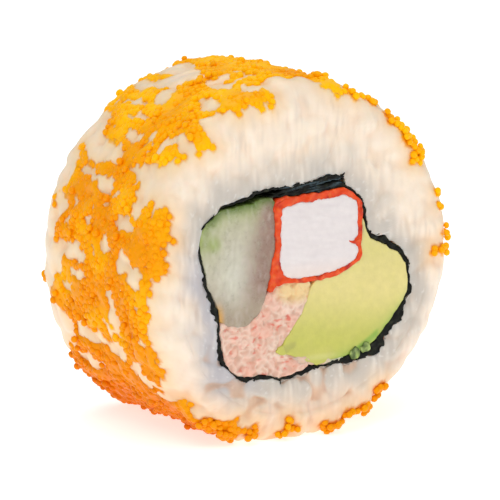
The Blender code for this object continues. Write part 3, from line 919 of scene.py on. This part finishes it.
def rice_base(nori_outlines):
    """The ring's smooth surface as a grid that closes both ways, and what each row of it belongs to."""
    angles = np.linspace(0, 2 * math.pi, RICE_AROUND, endpoint=False)
    spokes = np.stack([np.cos(angles), np.sin(angles)], axis=1)
    radii = hole_radii(nori_outlines, angles) - HOLE_OVERLAP + 0.10 * noise_at(as_flat(9 * spokes), 0.8, 7)
    straight = HALF - RIM_ROUNDING

    def hole_ring(y):
        return in_roll(HOLE_CENTRE + radii[:, None] * spokes, y)

    def side_ring(y, inset):
        x, z = (roll_radius(angles) - RICE_INSET - inset - pressed_in(angles, y)) * spokes.T
        return np.stack([x, np.full(RICE_AROUND, y), z], axis=1)

    def face_rings(side):
        inner, outer = hole_ring(side * HALF), side_ring(side * HALF, RIM_ROUNDING)
        shares = np.linspace(0, 1, FACE_ROWS + 1)[:-1] + 0.004
        return [("face", inner * (1 - share) + outer * share) for share in shares]

    turns = [math.pi / 2 * (1 - k / RIM_ROWS) for k in range(RIM_ROWS)]
    rim = [(straight + RIM_ROUNDING * math.sin(turn), RIM_ROUNDING * (1 - math.cos(turn))) for turn in turns]
    rows = [("hole", hole_ring(y)) for y in np.linspace(-HALF + 0.5, HALF - 0.5, HOLE_ROWS)]
    rows += face_rings(1)
    rows += [("rim", side_ring(y, inset)) for y, inset in rim]
    rows += [("side", side_ring(y, 0)) for y in np.linspace(straight, -straight, SIDE_ROWS)]
    rows += [("rim", side_ring(-y, inset)) for y, inset in rim[::-1]]
    rows += face_rings(-1)[::-1]
    kinds, rings = zip(*rows)
    return np.array(rings), np.array(kinds)


def grid_normals(grid):
    around = np.roll(grid, -1, axis=1) - np.roll(grid, 1, axis=1)
    along = np.roll(grid, -1, axis=0) - np.roll(grid, 1, axis=0)
    normal = np.cross(along, around)
    normal /= np.maximum(np.linalg.norm(normal, axis=2), 1e-9)[..., None]
    middle = len(grid) // 2
    spoke = grid[middle, 0] * (1, 0, 1)
    return normal if normal[middle, 0] @ spoke > 0 else -normal


def rice_grains(points, normals, on_face):
    """Grains spread over the surface: centre, axes and half sizes of each."""
    draw = random.Random(RICE_SEED)
    order = list(range(len(points)))
    draw.shuffle(order)
    grains, cells = [], {}
    for index in order:
        if not roomy(tuple(points[index].tolist()), GRAIN_SPACING, cells, GRAIN_SPACING):
            continue
        normal = Vector(normals[index])
        spin = Vector([draw.gauss(0, 1) for _ in "xyz"])
        tilt = FACE_TILT if on_face[index] else SIDE_TILT
        long_axis = (spin - spin.dot(normal) * normal).normalized() + normal * draw.uniform(-tilt, tilt)
        long_axis.normalize()
        wide_axis = long_axis.cross(normal).normalized()
        axes = np.array((long_axis, wide_axis, long_axis.cross(wide_axis)))
        half = np.array(GRAIN_HALF) * draw.uniform(*GRAIN_SIZE)
        centre = Vector(points[index]) - normal * draw.uniform(*GRAIN_DEPTH)
        grains.append((np.array(centre), axes, half))
    return grains


def grain_heights(points, normals, grains, floor):
    """How far the grains lift the surface at each point, blended softly where they meet."""
    total = np.exp(BLEND * floor)
    for centre, axes, half in grains:
        near = np.flatnonzero(np.einsum("ij,ij->i", points - centre, points - centre) < (half[0] + 0.9) ** 2)
        start = (points[near] - centre) @ axes.T / half
        ray = normals[near] @ axes.T / half
        a = np.einsum("ij,ij->i", ray, ray)
        b = np.einsum("ij,ij->i", start, ray)
        c = np.einsum("ij,ij->i", start, start) - 1
        inside = b * b - a * c
        hit = inside > 0
        top = (-b[hit] + np.sqrt(inside[hit])) / a[hit]
        total[near[hit]] += np.exp(BLEND * np.clip(top, -2, 0.8))
    return np.log(total) / BLEND


def build_rice_grid(nori_outlines):
    """The rice's surface with its grains, as a grid of points, with each one's height and cover of roe."""
    grid, kinds = rice_base(nori_outlines)
    normals = grid_normals(grid)
    rows, around = grid.shape[:2]
    points, flat_normals = grid.reshape(-1, 3), normals.reshape(-1, 3)
    kind = np.repeat(kinds, around)
    shown = kind != "hole"
    on_face = kind == "face"
    grains = rice_grains(points[shown], flat_normals[shown], on_face[shown])
    floor = np.where(on_face, CREASE_FACE, CREASE_SIDE)
    height = grain_heights(points, flat_normals, grains, floor) - 0.1
    cut = CUT_LEVEL + 0.05 * noise_at(points, 1.6, 4)
    softly = cut - np.log1p(np.exp((cut - height) * 6.0)) / 6.0
    towards = bearing(points[:, 0], points[:, 2])
    coarser = ease(205, 230, towards) * ease(310, 280, towards)
    height = np.where(on_face, softly * (FACE_FLATNESS + COARSE_FACE * coarser), height)
    height[kind == "side"] *= SIDE_FLATNESS
    height[kind == "rim"] *= RIM_FLATNESS + COARSE_FACE * coarser[kind == "rim"]
    height = height.reshape(rows, around)
    height[kinds == "hole"] = HOLE_LIP
    for _ in range(2):
        beside = [np.roll(height, step, axis) for axis in (0, 1) for step in (1, -1)]
        height = 0.5 * height + 0.5 * sum(beside) / 4
    height += (0.10 * noise_at(points, 6.0, 8) + 0.05 * noise_at(points, 1.1, 3)).reshape(rows, around)
    height[kinds == "hole"] = HOLE_SINK
    cover = cover_map(grid, kinds)
    surface = grid + normals * height[..., None]
    surface[..., 2] = np.maximum(surface[..., 2], -AXIS_HEIGHT)
    return surface, normals, kinds, height, cover


def between(near, far):
    """Faces between rows of point numbers and the rows after them, closed round the roll."""
    corners = [near, np.roll(near, -1, axis=1), np.roll(far, -1, axis=1), far]
    return np.stack(corners, axis=-1).reshape(-1, 4)


# Roe

def bareness(angle, y):
    """Above zero inside the bare patches, up to 1 in the middle of one."""
    return max(
        1 - math.hypot((angle - at) / half_angle, (y - depth) / half_depth) / BARE_GROWTH
        for at, depth, half_angle, half_depth in BARE_PATCHES
    )


def roe_cover(angle, y):
    """Above zero where roe covers the rice, at an angle in degrees and a depth."""
    around = math.radians(angle)
    x, z = ROLL_RADIUS * math.cos(around), ROLL_RADIUS * math.sin(around)
    specks = noise.noise(Vector((x / 1.6, y / 1.4 + 7, z / 1.6)))
    streaks = noise.noise(Vector((x / 7.0 + 3, y / 4.2, z / 7.0)))
    free = streaks + 0.3 * specks + 0.10
    ends = 0.5 * max(0.0, abs(y) - (HALF - 1.4))
    first, last = PATTERNED_ANGLES
    feathers = noise.noise(Vector((angle / 11.0, y / 1.25, 5.0)))
    drawn = -1.1 * max(bareness(angle, y), -0.17) + 0.30 * specks - 0.36 * max(feathers, -0.1)
    worn = float(ease(176, 190, angle) * ease(238, 228, angle) * ease(-11.6, -13.0, y))
    share = float(ease(first - 8, first + 8, angle) * ease(last + 8, last - 8, angle))
    free -= float(ease(FREE_ROE_FRONT + 1.2, FREE_ROE_FRONT - 1.2, y))
    return drawn * share + free * (1 - share) - ends * (1 if share < 0.5 else 0.6) - worn


def cover_map(surface, kinds):
    """How far inside a patch of roe each point of the rice's grid lies. Cut faces have none."""
    cover = np.full(surface.shape[:2], NO_COVER)
    for row in np.flatnonzero((kinds == "side") | (kinds == "rim")):
        for column, (x, y, z) in enumerate(surface[row].tolist()):
            angle = (math.degrees(math.atan2(z, x)) + 90) % 360 - 90
            cover[row, column] = roe_cover(angle, y)
    return cover


def egg_places(surface, normals, cover):
    """Where each egg lies on the rice: surface point, outward direction and how high it sits."""
    draw = random.Random(ROE_SEED)
    around = surface.shape[1]
    cells, eggs = {}, []

    def try_place(row, column, spacing, lift):
        across, along = draw.random(), draw.random()
        beyond, beside = row + 1, (column + 1) % around
        near = surface[row, column] * (1 - across) + surface[row, beside] * across
        far = surface[beyond, column] * (1 - across) + surface[beyond, beside] * across
        place = tuple((near * (1 - along) + far * along).tolist())
        if place[2] < -AXIS_HEIGHT + EGG_CLEARANCE or not roomy(place, spacing, cells):
            return False
        eggs.append((place, normals[row, column], lift))
        return True

    rows = np.flatnonzero(cover.max(axis=1) > NO_COVER)
    angles = np.degrees(np.arctan2(surface[..., 2], surface[..., 0]))
    for angle, y, half_angle, half_y, count in RIM_CLUSTERS:
        off = np.abs((angles - angle + 180) % 360 - 180) / half_angle
        spots = np.argwhere((np.hypot(off, (surface[..., 1] - y) / half_y) < 1) & (cover > NO_COVER))
        placed, tries = 0, 0
        while len(spots) and placed < count and tries < count * 40:
            tries += 1
            row, column = spots[draw.randrange(len(spots))]
            row, lift = min(row, rows[-1] - 1), draw.uniform(*CLUSTER_LIFT)
            placed += try_place(row, column, EGG_SPACING * CLUSTER_CLOSENESS, lift)
    tries = 0
    while len(eggs) < EGG_LIMIT and tries < EGG_TRIES:
        tries += 1
        row, column = draw.randrange(rows[0], rows[-1]), draw.randrange(around)
        if cover[row, column] < 0:
            continue
        smear = EGG_SMEAR * ease(-0.15, 0.25, noise.noise(Vector(surface[row, column]) / 4.5))
        lift = draw.uniform(*EGG_LIFT) - smear
        if draw.random() < LOOSE_EGGS:
            lift += draw.uniform(*LOOSE_LIFT)
        try_place(row, column, EGG_SPACING, lift)
    return eggs


def film_part(surface, film, cover):
    """The wet film that joins the eggs of a patch, as a sheet whose border dips into the rice."""
    rows = np.flatnonzero(cover.max(axis=1) > NO_COVER)
    index = np.arange(cover.size).reshape(cover.shape)[rows[0]:rows[-1] + 1]
    quads = between(index[:-1], index[1:])
    quads = quads[(cover.ravel()[quads] > FILM_EDGE).any(axis=1)]
    used, faces = np.unique(quads, return_inverse=True)
    points = film.reshape(-1, 3)[used]
    return points, faces.reshape(-1, 4), roe_colour(points)


def egg_template():
    """A ball of unit diameter with its pole along +Z, from rings of points."""
    points, faces = [(0, 0, 0.5)], []
    for number, ring in enumerate(EGG_RING_ANGLES):
        radius, level = 0.5 * math.sin(math.radians(ring)), 0.5 * math.cos(math.radians(ring))
        for k in range(EGG_SIDES):
            turn = 2 * math.pi * (k + number / 2) / EGG_SIDES
            points.append((radius * math.cos(turn), radius * math.sin(turn), level))
    points.append((0, 0, -0.5))
    starts = [1 + ring * EGG_SIDES for ring in range(len(EGG_RING_ANGLES))]
    for k in range(EGG_SIDES):
        following = (k + 1) % EGG_SIDES
        faces.append((0, 1 + k, 1 + following))
        for upper, lower in zip(starts, starts[1:]):
            faces.append((upper + k, lower + k, upper + following))
            faces.append((upper + following, lower + k, lower + following))
        faces.append((starts[-1] + k, len(points) - 1, starts[-1] + following))
    return np.array(points), np.array(faces)


def roe_colour(points):
    """The roe's colour at each point: bright, more golden in places and deeper orange in others and towards
    the left and lower side, with painted shade of deep orange underneath, back from the front cut face.
    """
    around = bearing(points[:, 0], points[:, 2])
    left = ease(118, 168, around) * ease(330, 300, around)
    # Painted shade: the roe under the roll, away from the front cut face, is painted deep orange.
    painted_shade_below = ease(200, 236, around) * ease(325, 285, around) * ease(-12.5, -9.0, points[:, 1])
    return painted(
        linear(253, 191, 1),
        ((236, 149, 0), np.clip(0.15 + 0.75 * left + 0.9 * noise_at(points, 5.0, 2), 0, 1)),
        ((216, 104, 0), 0.75 * painted_shade_below),
    )


def roe_part(eggs):
    """All eggs as one part, each a slightly uneven ball with a tone of its own."""
    draw = random.Random(ROE_SEED + 1)
    ball, ball_faces = egg_template()
    colours = roe_colour(np.array([place for place, _, _ in eggs]))
    points, faces, tints = [], [], []
    for number, (place, normal, lift) in enumerate(eggs):
        size = draw.uniform(*EGG_DIAMETER)
        first = np.cross(normal, [draw.gauss(0, 1) for _ in "xyz"])
        first /= np.linalg.norm(first)
        axes = np.array((first, np.cross(normal, first), normal))
        squash = np.array((draw.uniform(0.95, 1.15), draw.uniform(0.9, 1.05), draw.uniform(0.8, 0.95)))
        egg = (ball * squash * size) @ axes + np.array(place) + normal * size * lift
        egg[:, 2] = np.maximum(egg[:, 2], -AXIS_HEIGHT)
        points.append(egg)
        faces.append(ball_faces + number * len(ball))
        tone = painted(colours[number], ((248, 146, 0), 0.3 * draw.random() ** 2))
        tints.append(np.tile(tone, (len(ball), 1)))
    return np.concatenate(points), np.concatenate(faces), np.concatenate(tints)


def rice_paint(surface, kinds, height, cover, eggs):
    """Warm outside; beside the seaweed grey and clearer, partly as damp rice and partly as painted shade of
    the dark sheet seen through it; a film of orange under the roe; painted shade where the rice lies low and
    a painted orange glow beside the eggs.
    """
    points, height = surface.reshape(-1, 3), height.ravel()
    shown = points[:, [0, 2]]
    cut = np.repeat((kinds == "face") | (kinds == "rim"), surface.shape[1])
    beside = np.full(len(points), 99.0)
    beside[cut] = edge_distance(shown[cut], surface[0][:, [0, 2]])
    off_face = HALF - np.abs(points[:, 1])
    mottle = noise_at(points, 2.6, 2)
    near = ease(4.6, 0.3, beside + 1.5 * mottle) * ease(2.0, 0.6, off_face)
    angle = bearing(*(shown - HOLE_CENTRE).T)
    cool = ease(150, 175, angle) * ease(250, 225, angle)
    # Beside the seaweed the rice is painted grey, a little bluish on the left: partly damp rice, partly
    # painted shade of the dark sheet seen through the clear rice.
    damp_grey_and_shade = painted(linear(196, 189, 180), ((184, 182, 188), cool))
    colour = painted(
        linear(243, 227, 208),
        ((250, 226, 198), 0.8 * ease(0.5, 3.0, off_face)),
        ((232, 196, 168), 0.55 * ease(-8.0, -17.0, shown[:, 1]) * (1 - near)),
    )
    drag = np.stack([points[:, 0] / 0.42, points[:, 1] * 0.4, points[:, 2] / 2.4], axis=1)
    streak = noise_at(drag, 1.0, 6) * ease(1.6, 0.6, off_face) * np.clip(0.7 + mottle, 0.2, 1.3)
    colour = painted(
        mixed(colour, damp_grey_and_shade, 0.95 * near),
        ((190, 178, 170), 0.45 * np.clip(streak, 0, 1)),
        ((255, 246, 236), 0.45 * np.clip(-streak, 0, 1)),
        ((246, 246, 246), 0.35 * ease(0.42, 0.6, noise_at(points, 0.5, 11)) * near),
    )
    # Painted shade: the rice is darker and warmer where it lies low, in the creases between grains.
    colour = mixed(colour, colour * linear(246, 230, 214), 0.7 * ease(0.0, -0.4, height))
    foot = ease(-7.0, -11.0, shown[:, 1]) * ease(3.0, 1.0, off_face)
    tree = KDTree(len(eggs))
    for index, (place, _, _) in enumerate(eggs):
        tree.insert(place, index)
    tree.balance()
    nearest = np.array([tree.find(point)[2] for point in points.tolist()])
    colour = painted(
        colour,
        # Painted shade in the low places at the roll's foot, near the cut faces.
        ((226, 184, 154), 0.45 * ease(-0.10, -0.30, height) * foot),
        # Painted orange glow: light of the roe painted on the rice beside the eggs.
        ((252, 200, 120), 0.45 * np.exp(-(nearest / 1.7) ** 2)),
    )
    film = np.maximum(ease(-0.02, 0.05, cover.ravel()), ease(0.62, 0.38, nearest))
    return mixed(colour, roe_colour(points), film)


def build_layers():
    """Everything inside the rice. Returns the outlines of the seaweed, which the rice closes round."""
    cucumber = filling_outline("cucumber")
    flesh = partial(cucumber_paint, outline=cucumber)
    parts = [layer([cucumber], CUCUMBER_PROUD, cucumber_relief, flesh)]
    mesh_piece("cucumber_stick", parts, "cucumber_flesh", "cucumber")

    white = filling_outline("crab_stick_coat", STICK_GROWTH, 1)
    parts = [layer([white], STICK_PROUD, stick_relief, stick_paint)]
    mesh_piece("stick_white", parts, "crab_stick_white", "crab_stick")

    outer = wobbled(filling_outline("crab_stick_coat"), 0.10, 0.6, 3)
    bore = wobbled(filling_outline("crab_stick_coat", BORE_GROWTH, 1), 0.24, 0.5, 9)
    corner = ruffled(ribbon(COAT_CORNER, COAT_CORNER_HALF, 41))
    parts = [
        layer([outer, bore], COAT_PROUD, coat_relief, coat_paint, rounding=0.09, gap=0.18),
        layer([corner], COAT_PROUD - 0.06, coat_relief, coat_paint, rounding=0.12),
        layer([shard(*COAT_NICK, 0)], COAT_PROUD + 0.10, coat_relief, coat_paint, rounding=0.09),
    ]
    mesh_piece("stick_coat", parts, "crab_stick_red", "crab_stick_coat")

    avocado = filling_outline("avocado")
    thin = ruffled(ribbon(AVOCADO_THIN, AVOCADO_THIN_HALF, 52))
    tip = ruffled(ribbon(AVOCADO_TIP, AVOCADO_TIP_HALF, 51))
    flesh = partial(avocado_paint, rim=avocado)
    slices = [(avocado, 0, EDGE_ROUNDING), (thin, 0, EDGE_ROUNDING), (tip, -0.03, 0.07)]
    parts = [layer([flat], AVOCADO_PROUD + up, avocado_relief, flesh, edge) for flat, up, edge in slices]
    for number, path in enumerate(RIND_BITS):
        bit = ruffled(ribbon(path, RIND_BIT_HALF, 60 + number))
        parts.append(layer([bit], BITS_PROUD, coat_relief, rind_paint, rounding=0.1))
    mesh_piece("avocado_slice", parts, "avocado_flesh", "avocado")

    parts = salad_parts(filling_outline("crab_salad"))
    mesh_piece("crab_crumbs", parts, "crab_salad_meat", "crab_salad")

    sheet = ruffled(nori_sheet())
    folds = [ruffled(ribbon(path, half, 10 + number)) for number, (path, half) in enumerate(NORI_FOLDS)]
    strips = [(sheet, 0, 0.12, 0.2)]
    strips += [(fold, 0.12 * (number % 2), 0.15, POINT_GAP) for number, fold in enumerate(folds)]
    strips += [(shard(*ends, number), -0.02, 0.1, POINT_GAP) for number, ends in enumerate(NORI_SHARDS)]
    parts = [
        layer([strip], NORI_PROUD + up, nori_relief, nori_paint, edge, gap) for strip, up, edge, gap in strips
    ]
    mesh_piece("nori_sheet", parts, "nori_flat", "nori")
    return [sheet] + folds


def build_rice_and_roe(nori_outlines):
    surface, normals, kinds, height, cover = build_rice_grid(nori_outlines)
    index = np.arange(cover.size).reshape(cover.shape)
    faces = between(index, np.roll(index, -1, axis=0))
    bumps = 0.05 * noise_at(surface.reshape(-1, 3), 0.7, 5).reshape(cover.shape)
    raised = (ROE_FILM + bumps) * ease(-0.03, 0.14, cover)
    tucked = FILM_TUCK * ease(0.05, -0.03, cover)
    film = surface + normals * (raised - tucked)[..., None]
    film[..., 2] = np.maximum(film[..., 2], -AXIS_HEIGHT)
    eggs = egg_places(surface + normals * raised[..., None], normals, cover)
    parts = [(surface.reshape(-1, 3), faces, rice_paint(surface, kinds, height, cover, eggs))]
    mesh_piece("rice_ring", parts, "rice_grain", "rice")
    mesh_piece("roe", [roe_part(eggs), film_part(surface, film, cover)], "roe_egg")


def build_floor():
    data = bpy.data.meshes.new("floor")
    corners = [(x * FLOOR_HALF, y * FLOOR_HALF, 0) for x, y in ((-1, -1), (1, -1), (1, 1), (-1, 1))]
    data.from_pydata(corners, [], [(0, 1, 2, 3)])
    material, shader = new_shader("floor")
    shader.inputs["Base Color"].default_value = (FLOOR_WHITE, FLOOR_WHITE, FLOOR_WHITE, 1)
    shader.inputs["Roughness"].default_value = 0.9
    shader.inputs["Specular IOR Level"].default_value = 0.1
    shader.inputs["Emission Color"].default_value = (1, 1, 1, 1)
    shader.inputs["Emission Strength"].default_value = FLOOR_GLOW
    data.materials.append(material)
    floor = in_scene("floor", data)
    floor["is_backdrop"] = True


def area_light(name, place, size, power, colour=(1, 1, 1)):
    """A soft square lamp that looks at the roll from a place in metres."""
    data = bpy.data.lights.new(name, "AREA")
    data.size = size
    data.energy = power
    data.color = colour
    lamp = in_scene(name, data)
    lamp.location = place
    lamp.rotation_euler = (Vector(place) - Vector(CAMERA_TARGET) * MM).to_track_quat("Z", "Y").to_euler()


def build_studio():
    world = bpy.data.worlds.new("studio")
    world.use_nodes = True
    background = world.node_tree.nodes["Background"]
    background.inputs["Color"].default_value = (1, 1, 1, 1)
    background.inputs["Strength"].default_value = WORLD_STRENGTH
    bpy.context.scene.world = world
    area_light("key", (-0.30, -0.38, 0.55), 0.45, KEY_POWER, (1.0, 0.98, 0.95))
    area_light("fill", (0.55, -0.45, 0.35), 0.5, FILL_POWER)
    area_light("top", (0.05, 0.25, 0.65), 0.5, TOP_POWER)


def build_camera():
    data = bpy.data.cameras.new("camera")
    data.lens = LENS
    data.sensor_width = SENSOR
    data.shift_x, data.shift_y = FRAME_SHIFT
    data.clip_start = 0.01
    camera = in_scene("camera", data)
    back = Vector((
        math.sin(CAMERA_AZIMUTH) * math.cos(CAMERA_HEIGHT_ANGLE),
        -math.cos(CAMERA_AZIMUTH) * math.cos(CAMERA_HEIGHT_ANGLE),
        math.sin(CAMERA_HEIGHT_ANGLE),
    ))
    camera.location = (Vector(CAMERA_TARGET) + back * CAMERA_DISTANCE) * MM
    camera.rotation_euler = back.to_track_quat("Z", "Y").to_euler()
    bpy.context.scene.camera = camera


nori_outlines = build_layers()
build_rice_and_roe(nori_outlines)
build_floor()
build_studio()
build_camera()
bpy.context.scene.view_settings.view_transform = "Standard"

boxes = {"cad": cad_bounds, "dressed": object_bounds()}
{name: [list(corner) for corner in box] for name, box in boxes.items()}
